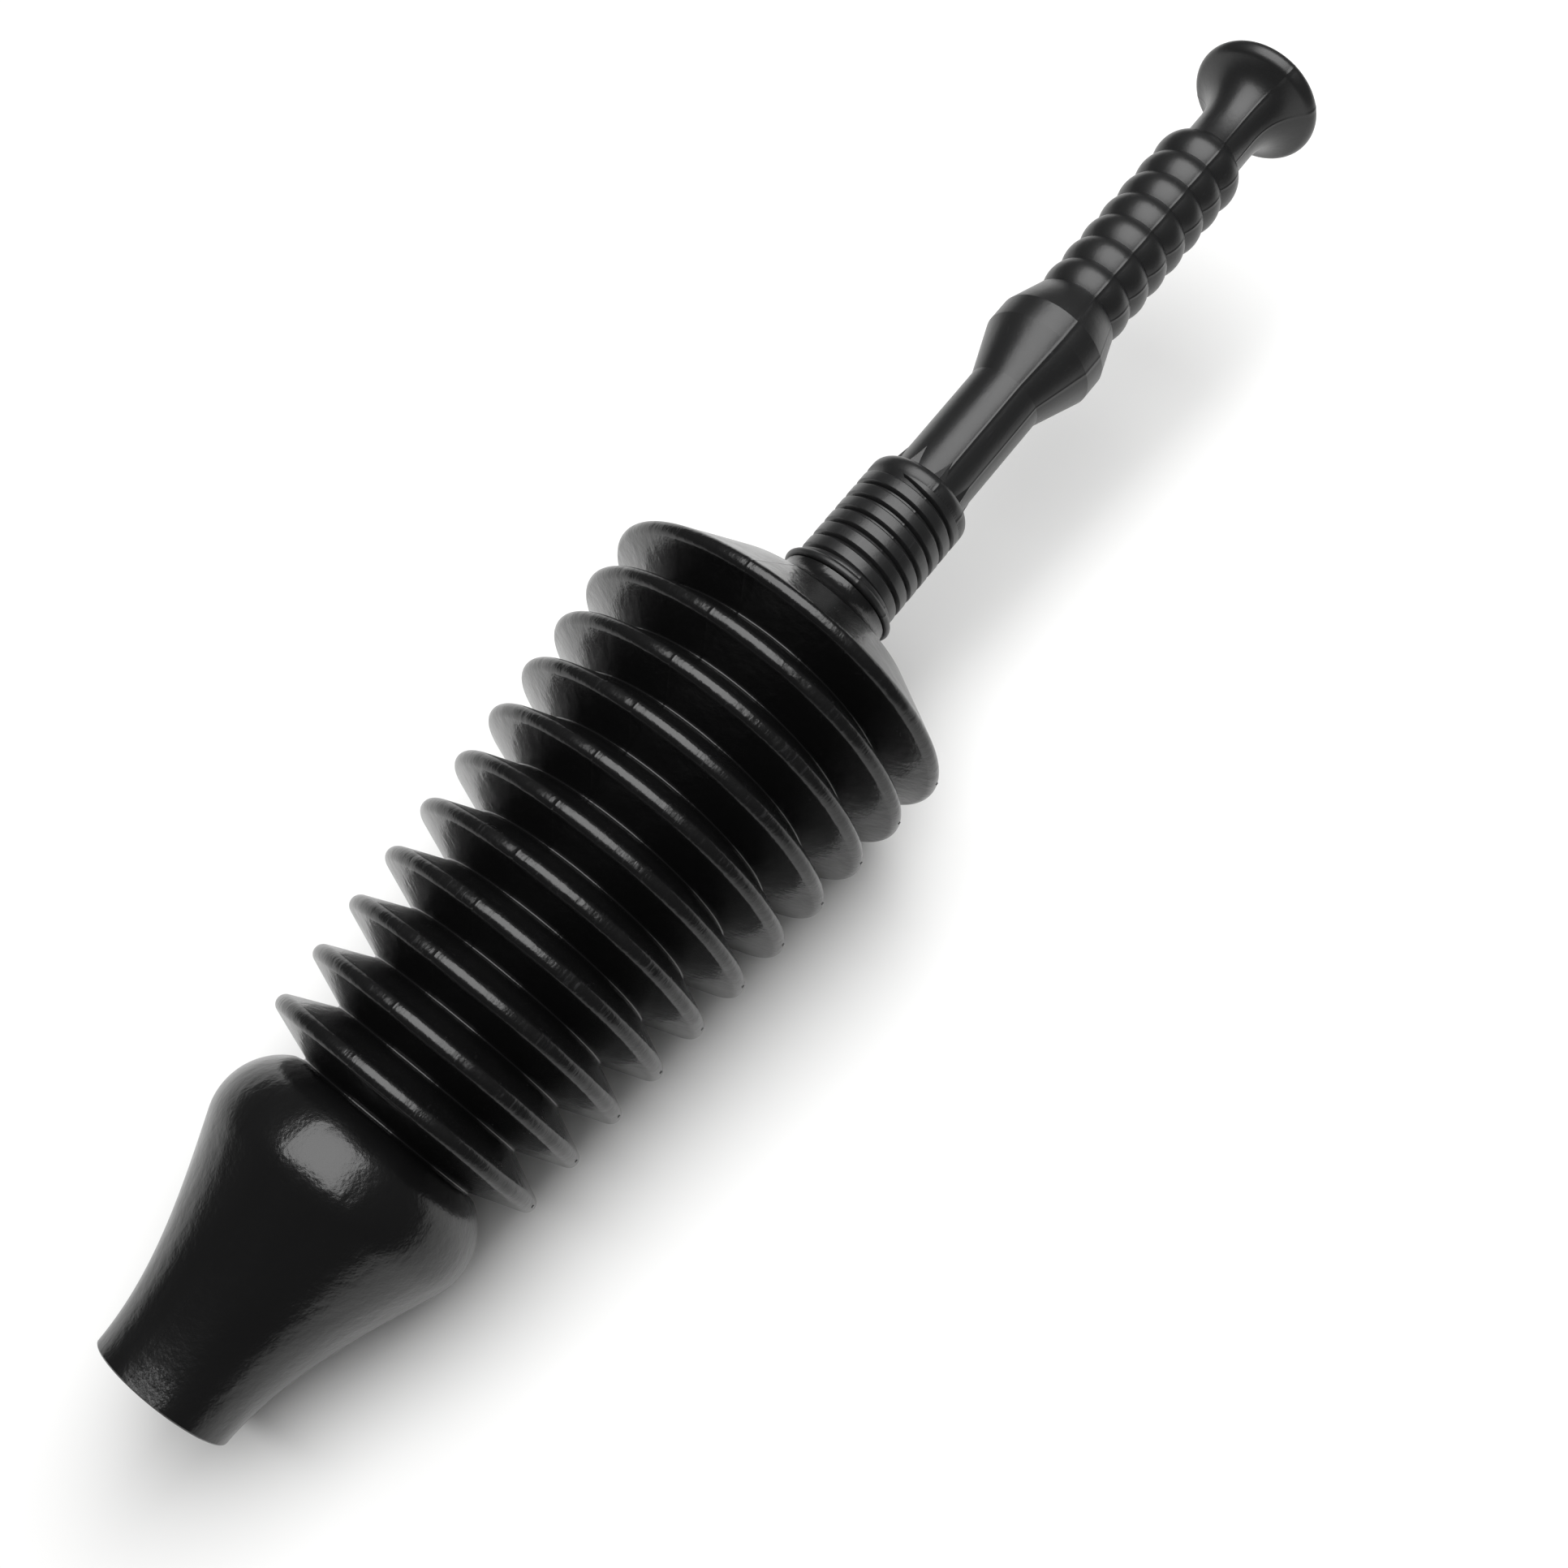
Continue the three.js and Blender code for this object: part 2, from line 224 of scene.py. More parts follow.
PROPERTY_GROUPS = {
    "plunger_bellows": BellowsSizes,
    "plunger_handle": HandleSizes,
    "plunger_finishes": Finishes,
    "plunger_studio": StudioSizes,
}


# ---- outlines, drawn as (radius, height) ---------------------------------------------

def arc(centre, radius, start, end, steps):
    """Points on an arc, both ends among them."""
    turns = [start + (end - start) * step / steps for step in range(steps + 1)]
    return [(centre[0] + radius * math.cos(turn), centre[1] + radius * math.sin(turn)) for turn in turns]


def curve(first, leave, arrive, last, steps):
    """Points on a cubic curve, both ends among them."""
    ends = [Vector(point) for point in (first, leave, arrive, last)]
    points = []
    for step in range(steps + 1):
        t = step / steps
        shares = ((1 - t) ** 3, 3 * t * (1 - t) ** 2, 3 * t * t * (1 - t), t ** 3)
        points.append(tuple(sum((end * part for end, part in zip(ends, shares)), Vector((0, 0)))))
    return points


def rounded(before, corner, after, radius, steps):
    """An arc of that radius in place of a corner."""
    corner = Vector(corner)
    one = (Vector(before) - corner).normalized()
    two = (Vector(after) - corner).normalized()
    half = one.angle(two) / 2
    centre = corner + (one + two).normalized() * (radius / math.sin(half))
    first = corner + one * (radius / math.tan(half)) - centre
    last = corner + two * (radius / math.tan(half)) - centre
    start = math.atan2(first.y, first.x)
    turn = (math.atan2(last.y, last.x) - start + math.pi) % math.tau - math.pi
    return arc(centre, radius, start, start + turn, steps)


def touch(centre, radius, point, side):
    """The angle at which a straight line from a point touches a circle. Side is 1 or -1."""
    away = Vector(point) - Vector(centre)
    return math.atan2(away.y, away.x) + side * math.acos(radius / away.length)


def behind(skin, thickness, first_normal=None, last_normal=None):
    """The inner face of a wall, from the skin's end back to its start."""
    inner = []
    for index, point in enumerate(skin):
        before = Vector(skin[max(index - 1, 0)])
        after = Vector(skin[min(index + 1, len(skin) - 1)])
        along = (after - before).normalized()
        normal = Vector((along.y, -along.x))
        if index == 0 and first_normal:
            normal = Vector(first_normal)
        if index == len(skin) - 1 and last_normal:
            normal = Vector(last_normal)
        inner.append(tuple(Vector(point) - normal * thickness))
    return inner[::-1]


# ---- meshes --------------------------------------------------------------------------

def placed():
    """Takes the upright frame, with the mouth at its origin, to where the plunger lies."""
    sizes = bpy.context.scene.plunger_bellows
    pivot = Vector(joints["nose_tilt"]["pos_m"])
    mouth = pivot - axis * groove(sizes, 0)[1]
    up = Vector((-axis.z, 0, axis.x))
    turn = Matrix((up, axis.cross(up), axis)).transposed().to_4x4()
    return Matrix.Translation(mouth) @ turn


def steps_round(count, lines, half_width):
    """Angles round the axis, each with 1 where a parting line stands up and 0 elsewhere."""
    def distance(one, two):
        return abs((one - two + math.pi) % math.tau - math.pi)

    steps = [(math.pi + math.tau * step / count, 0) for step in range(count)]
    steps = [(turn, 0) for turn, _ in steps if all(distance(turn, line) > 4 * half_width for line in lines)]
    for line in lines:
        steps += [(line - 2 * half_width, 0), (line - half_width, 1), (line + half_width, 1),
                  (line + 2 * half_width, 0)]
    return sorted((turn % math.tau, line) for turn, line in steps)


def turned(name, outline, skin, steps, line_height, marks=None):
    """Turns an outline about the axis. The first points of it, the skin, show the parting line."""
    vertices, rings = [], []
    for index, (radius, height) in enumerate(outline):
        if radius < AXIS_POINT:
            rings.append([len(vertices)])
            vertices.append((0, 0, height))
            continue
        rings.append(range(len(vertices), len(vertices) + len(steps)))
        for turn, line in steps:
            reach = radius + (line_height * line if index < skin else 0)
            vertices.append((reach * math.cos(turn), reach * math.sin(turn), height))
    faces = []
    for index, lower in enumerate(rings):
        upper = rings[(index + 1) % len(rings)]
        for step in range(len(steps)):
            following = (step + 1) % len(steps)
            if len(lower) > 1 and len(upper) > 1:
                faces.append((lower[step], lower[following], upper[following], upper[step]))
            elif len(lower) > 1:
                faces.append((lower[step], lower[following], upper[0]))
            elif len(upper) > 1:
                faces.append((lower[0], upper[following], upper[step]))
    mesh = bpy.data.meshes.new(name)
    mesh.from_pydata(vertices, [], faces)
    if marks:
        crest = mesh.attributes.new("crest", "FLOAT", "POINT")
        crest.data.foreach_set("value", [mark for mark, ring in zip(marks, rings) for _ in ring])
    return mesh


def finished(name, mesh, material, sharp=32):
    """Makes a piece of an upright mesh: placed, smoothed and given its plastic."""
    mesh.transform(placed())
    mesh.shade_smooth()
    mesh.set_sharp_from_angle(angle=math.radians(sharp))
    mesh.materials.clear()
    mesh.materials.append(material)
    mesh.polygons.foreach_set("material_index", [0] * len(mesh.polygons))
    piece = bpy.data.objects.new(name, mesh)
    bpy.context.scene.collection.objects.link(piece)
    return piece


def on_axis(height):
    """The point of the axis at a height above the mouth."""
    return placed() @ Vector((0, 0, height))


# ---- node trees ----------------------------------------------------------------------

class Socket:
    """An output of a node. Sums and products of sockets add their Math nodes."""

    def __init__(self, nodes, output):
        self.nodes = nodes
        self.output = output

    def math(self, operation, *terms):
        return self.nodes.add("ShaderNodeMath", {"operation": operation}, dict(enumerate(terms)))

    def __add__(self, other):
        return self.math("ADD", self, other)

    def __sub__(self, other):
        return self.math("SUBTRACT", self, other)

    def __rsub__(self, other):
        return self.math("SUBTRACT", other, self)

    def __mul__(self, other):
        return self.math("MULTIPLY", self, other)

    def __truediv__(self, other):
        return self.math("DIVIDE", self, other)

    def __rtruediv__(self, other):
        return self.math("DIVIDE", other, self)

    __radd__ = __add__
    __rmul__ = __mul__


class Nodes:
    """A node tree that is filled by one call for each node."""

    def __init__(self, tree):
        self.tree = tree

    def add(self, kind, settings=None, inputs=None, output=0):
        """Adds a node: its settings first, then the values or links of its sockets."""
        node = self.tree.nodes.new(kind)
        for name, value in (settings or {}).items():
            setattr(node, name, value)
        for key, value in (inputs or {}).items():
            if isinstance(value, Socket):
                self.tree.links.new(value.output, node.inputs[key])
            else:
                node.inputs[key].default_value = value
        return Socket(self, node.outputs[output]) if len(node.outputs) else node

    def between(self, value, low, high):
        """A smooth step: 0 below low, 1 above high."""
        settings = {"interpolation_type": "SMOOTHSTEP"}
        return self.add("ShaderNodeMapRange", settings, {"Value": value, "From Min": low, "From Max": high})

    def noise(self, vector, size, detail=2.0, roughness=0.5):
        """Noise from 0 to 1 whose lumps are about that size, in metres."""
        inputs = {"Vector": vector, "Scale": 1 / size, "Detail": detail, "Roughness": roughness}
        return self.add("ShaderNodeTexNoise", {}, inputs)

    def stretched(self, vector, scale):
        """The same place with each axis scaled."""
        return self.add("ShaderNodeMapping", {"vector_type": "POINT"}, {"Vector": vector, "Scale": scale})

    def blend(self, share, one, two):
        """A colour between two colours."""
        return self.add("ShaderNodeMix", {"data_type": "RGBA"}, {"Factor": share, 6: one, 7: two}, 2)


def geometry_tree(name, inputs):
    """An empty Geometry Nodes tree with named inputs. Returns its nodes and its inputs' sockets."""
    tree = bpy.data.node_groups.new(name, "GeometryNodeTree")
    tree.interface.new_socket("Geometry", in_out="OUTPUT", socket_type="NodeSocketGeometry")
    for label, kind in inputs.items():
        tree.interface.new_socket(label, in_out="INPUT", socket_type="NodeSocket" + kind)
    nodes = Nodes(tree)
    source = tree.nodes.new("NodeGroupInput")
    return nodes, {label: Socket(nodes, source.outputs[label]) for label in inputs}


def close_tree(nodes, geometry, material):
    """Ends a Geometry Nodes tree: real geometry, in its material."""
    real = nodes.add("GeometryNodeRealizeInstances", {}, {"Geometry": geometry})
    done = nodes.add("GeometryNodeSetMaterial", {}, {"Geometry": real, "Material": material})
    nodes.add("NodeGroupOutput", {}, {"Geometry": done})
    return nodes.tree


def grown(name, tree, values):
    """Runs a Geometry Nodes tree and keeps what it makes as a plain mesh."""
    holder = bpy.data.objects.new(name + "_source", bpy.data.meshes.new(name + "_source"))
    bpy.context.scene.collection.objects.link(holder)
    modifier = holder.modifiers.new(tree.name, "NODES")
    modifier.node_group = tree
    identifiers = {item.name: item.identifier for item in tree.interface.items_tree}
    for label, value in values.items():
        modifier[identifiers[label]] = value
    depsgraph = bpy.context.evaluated_depsgraph_get()
    mesh = bpy.data.meshes.new_from_object(holder.evaluated_get(depsgraph), depsgraph=depsgraph)
    bpy.data.objects.remove(holder)
    mesh.name = name
    return mesh


def ring_tree(name, unit, upright):
    """A tree that sets copies of a unit round the axis. Unit makes one, from nodes and inputs."""
    kinds = {"Count": "Int", "Radius": "Float", "Height": "Float", "First Angle": "Float", "Width": "Float",
             "Rise": "Float", "Lean": "Float", "Material": "Material"}
    nodes, given = geometry_tree(name, kinds)
    index = nodes.add("GeometryNodeInputIndex")
    turn = index * (math.tau / given["Count"]) + given["First Angle"]
    place = nodes.add("ShaderNodeCombineXYZ", {}, {
        "X": given["Radius"] * turn.math("COSINE", turn),
        "Y": given["Radius"] * turn.math("SINE", turn),
        "Z": given["Height"],
    })
    points = nodes.add("GeometryNodePoints", {}, {"Count": given["Count"], "Position": place})
    tip = 0 if upright else math.pi / 2
    facing = nodes.add("ShaderNodeCombineXYZ", {}, {"Y": tip, "Z": turn})
    rotation = nodes.add("FunctionNodeEulerToRotation", {}, {"Euler": facing})
    inputs = {"Points": points, "Instance": unit(nodes, given), "Rotation": rotation}
    copies = nodes.add("GeometryNodeInstanceOnPoints", {}, inputs)
    return close_tree(nodes, copies, given["Material"])


# ---- plastics ------------------------------------------------------------------------

def surface_start(name):
    """A new material with its nodes and the place on the upright plunger."""
    material = bpy.data.materials.new(name)
    material.use_nodes = True
    material.node_tree.nodes.clear()
    nodes = Nodes(material.node_tree)
    lies = placed()
    here = nodes.add("ShaderNodeTexCoord", {}, {}, "Object")
    inputs = {"Vector": here, "Location": lies.to_translation(), "Rotation": lies.to_euler()}
    upright = nodes.add("ShaderNodeMapping", {"vector_type": "TEXTURE"}, inputs)
    return material, nodes, upright


def surface_end(nodes, base, roughness, relief, fixed=None):
    """Ends a material: relief is a height in metres."""
    normal = nodes.add("ShaderNodeBump", {}, {"Height": relief, "Distance": 1.0, "Strength": 1.0})
    inputs = {"Base Color": base, "Roughness": roughness, "Normal": normal, **(fixed or {})}
    shader = nodes.add("ShaderNodeBsdfPrincipled", {}, inputs)
    nodes.add("ShaderNodeOutputMaterial", {}, {"Surface": shader})


def bellows_plastic():
    """Glossy black polyethylene, blown: ripple, a painted highlight of lighter streaky colour over the crest
    tops, a scuffed mouth.
    """
    found = bpy.data.materials.get("bellows_gloss_black")
    if found:
        return found
    finishes = bpy.context.scene.plunger_finishes
    material, nodes, upright = surface_start("bellows_gloss_black")
    crest = nodes.add("ShaderNodeAttribute", {"attribute_name": "crest"}, {}, "Fac")

    grain = nodes.noise(upright, 1.0 * MM, 2.0, 0.6)
    peel = nodes.noise(upright, 3.5 * MM, 2.0)
    flow = nodes.noise(nodes.stretched(upright, (1, 1, 0.5)), 20 * MM, 3.0)
    bands = nodes.noise(nodes.stretched(upright, (1, 1, 0.08)), 9 * MM, 2.0)
    drawn = nodes.noise(nodes.stretched(upright, (1, 1, 0.06)), 1.1 * MM, 3.0, 0.65)
    drawn_wide = nodes.noise(nodes.stretched(upright, (1, 1, 0.1)), 6 * MM, 2.0)
    specks = nodes.noise(upright, 1.2 * MM, 4.0, 0.7)

    # Painted highlight: lighter colour in thin bands over the crest tops, standing in for the streaked
    # highlight of the soft light along each crest.
    painted_crest_highlight = crest * nodes.between(drawn, 0.5, 0.72) * nodes.between(drawn_wide, 0.42, 0.62)
    worn_place = {0: upright, 1: WORN_PLACE}
    from_worn = nodes.add("ShaderNodeVectorMath", {"operation": "DISTANCE"}, worn_place, "Value")
    scuffs = (1 - nodes.between(from_worn, 2 * MM, 9 * MM)) * nodes.between(specks, 0.5, 0.62)
    dust = nodes.between(specks, 0.7, 0.76)
    # The rubbed mix is partly painted highlight (the crest bands) and partly wear (scuffs at the mouth, dust
    # specks).
    rubbed = painted_crest_highlight * 0.5 + scuffs * 0.8 + dust * 0.4
    base = nodes.blend(rubbed, (*finishes.bellows, 1), (*finishes.bellows_wear_and_highlight, 1))
    roughness = finishes.bellows_roughness + (flow - 0.5) * 0.12 + (bands - 0.5) * 0.1 + rubbed * 0.2
    relief = (grain * 60e-6 + peel * 150e-6 + flow * 650e-6 + bands * 100e-6
              + crest * drawn * 90e-6 + crest * drawn_wide * 160e-6 + scuffs * 60e-6)
    surface_end(nodes, base, roughness, relief, {"Specular IOR Level": 0.5})
    return material


def handle_plastic():
    """Satin black polyethylene, moulded: dull grain, faint flow marks."""
    found = bpy.data.materials.get("handle_satin_black")
    if found:
        return found
    finishes = bpy.context.scene.plunger_finishes
    material, nodes, upright = surface_start("handle_satin_black")
    grain = nodes.noise(upright, 0.7 * MM, 3.0, 0.65)
    peel = nodes.noise(upright, 3.5 * MM, 2.0)
    flow = nodes.noise(nodes.stretched(upright, (1, 1, 0.3)), 18 * MM, 3.0)
    scratches = nodes.noise(nodes.stretched(upright, (1, 0.6, 0.05)), 0.9 * MM, 2.0, 0.6)
    rubbed = nodes.between(scratches, 0.62, 0.8) * 0.6
    base = nodes.blend(rubbed, (*finishes.handle, 1), (*finishes.handle_worn, 1))
    roughness = finishes.handle_roughness + (flow - 0.5) * 0.14 + (grain - 0.5) * 0.1
    relief = grain * 24e-6 + peel * 50e-6 + flow * 260e-6 + scratches * 10e-6
    surface_end(nodes, base, roughness, relief, {"Specular IOR Level": 0.5})
    return material


def floor_surface():
    """A pale, plain studio floor."""
    finishes = bpy.context.scene.plunger_finishes
    material, nodes, _ = surface_start("studio_floor")
    here = nodes.add("ShaderNodeTexCoord", {}, {}, "Object")
    cloud = nodes.noise(here, 0.4, 2.0)
    roughness = 0.78 + (cloud - 0.5) * 0.1
    surface_end(nodes, (*finishes.floor, 1), roughness, cloud * 1e-5, {"Specular IOR Level": 0.2})
    return material


# ---- the bellows ---------------------------------------------------------------------

def crest_place(sizes, crest):
    """The radius and height of a crest, the first being 0."""
    slope = (sizes.last_radius - sizes.first_radius) / (sizes.pleats - 1)
    return sizes.first_radius + slope * crest, sizes.first_crest + sizes.pitch * crest


def groove(sizes, number):
    """The radius and height of the groove just below a crest."""
    radius, height = crest_place(sizes, number)
    below, _ = crest_place(sizes, number - 1)
    deep = (radius + below) / 2 - sizes.fold_depth
    return (sizes.first_groove if number == 0 else deep), height - sizes.pitch / 2


def crest_centre(sizes, crest):
    """The centre of the rounding over a crest."""
    radius, height = crest_place(sizes, crest)
    return radius - sizes.rounding, height - sizes.rounding * math.sin(lay_angle)


def crest_rise(sizes, crest, steps=10):
    """From the flank below a crest up to its top."""
    centre = crest_centre(sizes, crest)
    start = touch(centre, sizes.rounding, groove(sizes, crest), 1)
    return arc(centre, sizes.rounding, start, lay_angle, steps)


def crest_fall(sizes, crest, steps=10):
    """From the top of a crest down to the flank above it."""
    centre = crest_centre(sizes, crest)
    end = touch(centre, sizes.rounding, groove(sizes, crest + 1), -1)
    return arc(centre, sizes.rounding, lay_angle, end, steps)


def crest_marks(sizes, outline, crests):
    """How near each point lies to the top of a crest, from 0 to 1."""
    marks = []
    for radius, height in outline:
        depth = min(math.dist((radius, height), crest_place(sizes, crest)) for crest in crests)
        marks.append(max(0, 1 - depth / (2 * sizes.rounding)))
    return marks


def bellows_steps(sizes):
    """The facets round the bellows, finer at its two parting lines."""
    return steps_round(sizes.sides, [sizes.parting, sizes.parting + math.pi], BELLOWS_LINE)


def top_normal():
    """The way that the plastic faces at the top of a crest."""
    return math.cos(lay_angle), math.sin(lay_angle)


class PLUNGER_OT_folds(bpy.types.Operator):
    """Make the folds of the bellows, each from one crest to the next"""

    bl_idname = "plunger.folds"
    bl_label = "Bellows Folds"

    def execute(self, context):
        sizes = context.scene.plunger_bellows
        for fold in range(sizes.pleats - 1):
            fall = crest_fall(sizes, fold)
            rise = crest_rise(sizes, fold + 1)
            root = rounded(fall[-1], groove(sizes, fold + 1), rise[0], sizes.root_rounding, 6)
            skin = fall + root + rise
            outline = skin + behind(skin, sizes.wall, top_normal(), top_normal())
            marks = crest_marks(sizes, outline, (fold, fold + 1))
            name = f"bellows_fold_{fold + 1:02d}"
            mesh = turned(name, outline, len(skin), bellows_steps(sizes), sizes.parting_height, marks)
            piece = finished(name, mesh, bellows_plastic(), sharp=40)
            start = on_axis(crest_place(sizes, fold)[1])
            end = on_axis(crest_place(sizes, fold + 1)[1])
            f"pleat_{fold + 1:02d}"
            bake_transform(piece)
            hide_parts(f"bellows_pleat_{fold + 1:02d}")
        return {"FINISHED"}


class PLUNGER_OT_nose(bpy.types.Operator):
    """Make the tapered nose, from its mouth to the first crest"""

    bl_idname = "plunger.nose"
    bl_label = "Nose"

    def execute(self, context):
        sizes = context.scene.plunger_bellows
        centre = (sizes.bulb_radius - sizes.bulb_rounding, sizes.bulb_height)
        meet = arc(centre, sizes.bulb_rounding, sizes.bulb_start, 0, 1)[0]
        run = 26 * MM
        lean = math.tan(-sizes.bulb_start)
        flare = curve((sizes.mouth_radius, sizes.mouth_bevel), (sizes.mouth_radius + 0.4 * MM, sizes.flare),
                      (meet[0] - run * lean, meet[1] - run), meet, FLARE_STEPS)
        root = groove(sizes, 0)
        bulb = arc(centre, sizes.bulb_rounding, sizes.bulb_start, sizes.bulb_end, BULB_STEPS)
        rise = crest_rise(sizes, 0)
        valley = rounded(bulb[-1], root, rise[0], sizes.root_rounding, 6)
        skin = [(sizes.mouth_radius - sizes.mouth_bevel, 0)] + flare + bulb[1:] + valley + rise
        inner = behind(skin[1:], sizes.wall, None, top_normal())
        outline = skin + inner[:-1] + [(sizes.mouth_radius - sizes.wall, 0)]
        marks = crest_marks(sizes, outline, (0,))
        mesh = turned("nose", outline, len(skin), bellows_steps(sizes), sizes.parting_height, marks)
        piece = finished("nose", mesh, bellows_plastic())
        on_axis(sizes.bulb_height)
        on_axis(crest_place(sizes, 0)[1])
        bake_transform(piece)
        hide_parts("nose_cone")
        return {"FINISHED"}


class PLUNGER_OT_shoulder(bpy.types.Operator):
    """Make the shoulder behind the last crest, with its neck and spigot"""

    bl_idname = "plunger.shoulder"
    bl_label = "Shoulder"

    def execute(self, context):
        sizes = context.scene.plunger_bellows
        last = sizes.pleats - 1
        edge = (sizes.ring_radius, sizes.ring_height)
        centre = crest_centre(sizes, last)
        fall = arc(centre, sizes.rounding, lay_angle, touch(centre, sizes.rounding, edge, -1), 12)
        flare = curve(edge, (edge[0] - 9 * MM, edge[1] + 2.2 * MM),
                      (sizes.neck_radius + 0.8 * MM, sizes.neck_top - 9 * MM),
                      (sizes.neck_radius, sizes.neck_top - 1.2 * MM), SHOULDER_STEPS)
        flank = rounded(fall[-1], edge, flare[1], 0.5 * MM, 3) + flare[2:]
        skin = fall + flank + [(sizes.neck_radius, sizes.neck_top)]
        inner = behind(fall + flank, sizes.wall, top_normal())
        inner = [(reach, rise) for reach, rise in inner if reach > sizes.spigot_bore]
        outline = skin + [
            (sizes.spigot_radius, sizes.neck_top),
            (sizes.spigot_radius, sizes.spigot_top - 0.8 * MM),
            (sizes.spigot_radius - 0.8 * MM, sizes.spigot_top),
            (sizes.spigot_bore, sizes.spigot_top),
            (sizes.spigot_bore, inner[0][1] - sizes.wall),
        ] + inner
        marks = crest_marks(sizes, outline, (last,))
        mesh = turned("shoulder", outline, len(skin), bellows_steps(sizes), sizes.parting_height, marks)
        piece = finished("shoulder", mesh, bellows_plastic())
        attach(piece, HEAD)
        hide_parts("bellows_shoulder")
        return {"FINISHED"}


class PLUNGER_OT_vent_pins(bpy.types.Operator):
    """Make the small dots that the mould's vents left on each crest"""

    bl_idname = "plunger.vent_pins"
    bl_label = "Vent Dots"

    def execute(self, context):
        sizes = context.scene.plunger_bellows

        def dot(nodes, given):
            inputs = {"Vertices": 14, "Radius": given["Width"], "Depth": given["Rise"]}
            return nodes.add("GeometryNodeMeshCylinder", {}, inputs)

        tree = ring_tree("vent_dots", dot, upright=False)
        for crest in range(sizes.pleats):
            radius, height = crest_place(sizes, crest)
            name = f"vent_dots_{crest + 1:02d}"
            mesh = grown(name, tree, {
                "Count": 2, "Radius": radius, "Height": height, "First Angle": sizes.pin_angle,
                "Width": sizes.pin_radius, "Rise": 0.4 * MM, "Material": bellows_plastic(),
            })
            piece = finished(name, mesh, bellows_plastic())
            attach(piece, HEAD if crest == sizes.pleats - 1 else f"pleat_{crest + 1:02d}")
        return {"FINISHED"}


# ---- threads -------------------------------------------------------------------------

def helix_tree():
    """A tree that winds a rounded rib round the axis and lets it run out at both ends."""
    kinds = {"Radius": "Float", "Start": "Float", "Pitch": "Float", "Turns": "Float", "First Angle": "Float",
             "Land": "Float", "Foot": "Float", "Depth": "Float", "Sink": "Float", "Material": "Material"}
    nodes, given = geometry_tree("helical_rib", kinds)
    spiral = nodes.add("GeometryNodeCurveSpiral", {}, {
        "Resolution": HELIX_RESOLUTION, "Rotations": given["Turns"], "Start Radius": given["Radius"],
        "End Radius": given["Radius"], "Height": given["Turns"] * given["Pitch"],
    })
    turn = nodes.add("ShaderNodeCombineXYZ", {}, {"Z": given["First Angle"]})
    lift = nodes.add("ShaderNodeCombineXYZ", {}, {"Z": given["Start"]})
    moved = {"Geometry": spiral, "Translation": lift, "Rotation": turn}
    route = nodes.add("GeometryNodeTransform", {}, moved)
    route = nodes.add("GeometryNodeSetCurveNormal", {"mode": "Z_UP"}, {"Curve": route})
    tall = given["Depth"] + given["Sink"]
    section = nodes.add("GeometryNodeCurvePrimitiveQuadrilateral", {"mode": "TRAPEZOID"}, {
        "Height": tall, "Bottom Width": given["Foot"], "Top Width": given["Land"], "Offset": 0.0,
    })
    inputs = {"Curve": section, "Count": 3, "Radius": given["Depth"] * 0.25}
    section = nodes.add("GeometryNodeFilletCurve", {"mode": "POLY"}, inputs)
    raised = nodes.add("ShaderNodeCombineXYZ", {}, {"Y": (given["Depth"] - given["Sink"]) * 0.5})
    quarter = nodes.add("ShaderNodeCombineXYZ", {}, {"Z": math.pi / 2})
    section = nodes.add("GeometryNodeTransform", {}, {"Geometry": section, "Translation": raised})
    section = nodes.add("GeometryNodeTransform", {}, {"Geometry": section, "Rotation": quarter})
    along = nodes.add("GeometryNodeSplineParameter") * given["Turns"]
    left = given["Turns"] - along
    fade = along.math("MINIMUM", along * 5, left * 5)
    fade = fade.math("MAXIMUM", fade.math("MINIMUM", fade, 1.0), 0.12)
    inputs = {"Curve": route, "Profile Curve": section, "Scale": fade, "Fill Caps": True}
    rib = nodes.add("GeometryNodeCurveToMesh", {}, inputs)
    return close_tree(nodes, rib, given["Material"])


class PLUNGER_OT_threads(bpy.types.Operator):
    """Wind the ribs of the sleeve and the thread of the spigot inside it"""

    bl_idname = "plunger.threads"
    bl_label = "Threads"

    def execute(self, context):
        bellows = context.scene.plunger_bellows
        handle = context.scene.plunger_handle
        tree = helix_tree()
        shared = {"Pitch": handle.thread_pitch, "Sink": 0.5 * MM, "First Angle": 0.0}
        mesh = grown("sleeve_ribs", tree, {
            **shared, "Start": handle.thread_start - handle.thread_pitch, "Turns": handle.rib_turns,
            "Radius": handle.sleeve_radius - handle.groove_depth, "Depth": handle.groove_depth,
            "Land": handle.rib_land, "Foot": handle.thread_pitch - 0.05 * MM, "Material": handle_plastic(),
        })
        ribs = finished("sleeve_ribs", mesh, handle_plastic(), sharp=50)
        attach(ribs, HEAD)
        mesh = grown("spigot_thread", tree, {
            **shared, "Start": handle.thread_start, "Turns": handle.spigot_turns,
            "Radius": bellows.spigot_radius, "Depth": handle.thread_depth,
            "Land": 2.4 * MM, "Foot": 4 * MM, "Material": bellows_plastic(),
        })
        thread = finished("spigot_thread", mesh, bellows_plastic(), sharp=50)
        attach(thread, HEAD)
        return {"FINISHED"}


# ---- the handle ----------------------------------------------------------------------

